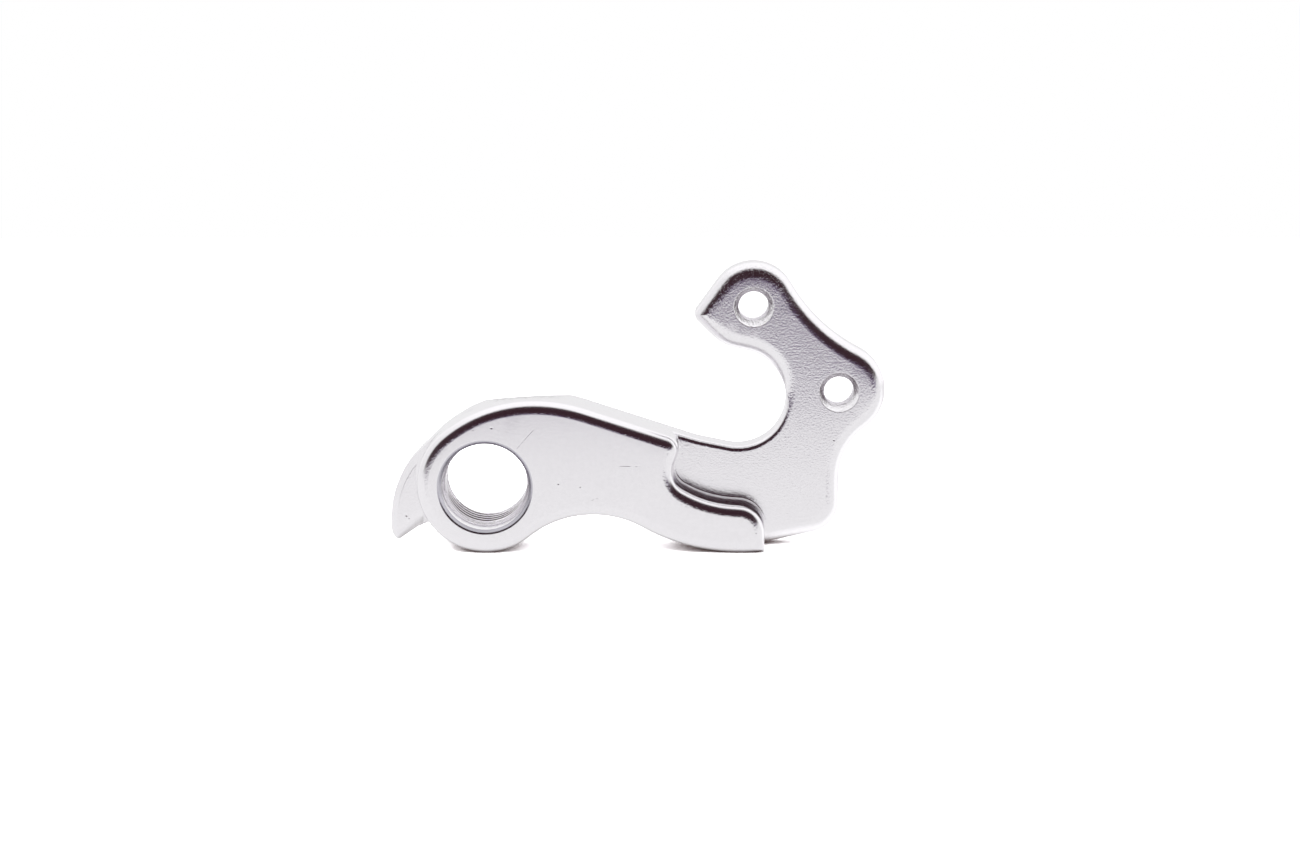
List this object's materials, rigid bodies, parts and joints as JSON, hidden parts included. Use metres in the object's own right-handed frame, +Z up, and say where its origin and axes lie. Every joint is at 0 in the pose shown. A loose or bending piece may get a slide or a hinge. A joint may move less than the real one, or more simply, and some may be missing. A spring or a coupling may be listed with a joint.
{
  "type": "bicycle derailleur hanger",
  "caption": "Stepped aluminium hanger with a threaded eye for a rear derailleur, a stop tab, a hooked slot for the wheel axle and tapped fixing holes.",
  "frame": {"origin": "on the axis of the derailleur eye, in the plane where the plate seats on the frame's dropout", "axes": "+X from the eye to the axle slot, +Y along the eye to the derailleur side, +Z up as it stands on the eye and the lip"},
  "size_m": [0.0547, 0.008, 0.0316],
  "materials": {
    "hanger_aluminium": "satin tumbled, clear anodised"
  },
  "bodies": {
    "root": {"hanger": "hanger_aluminium"}
  },
  "joints": []
}
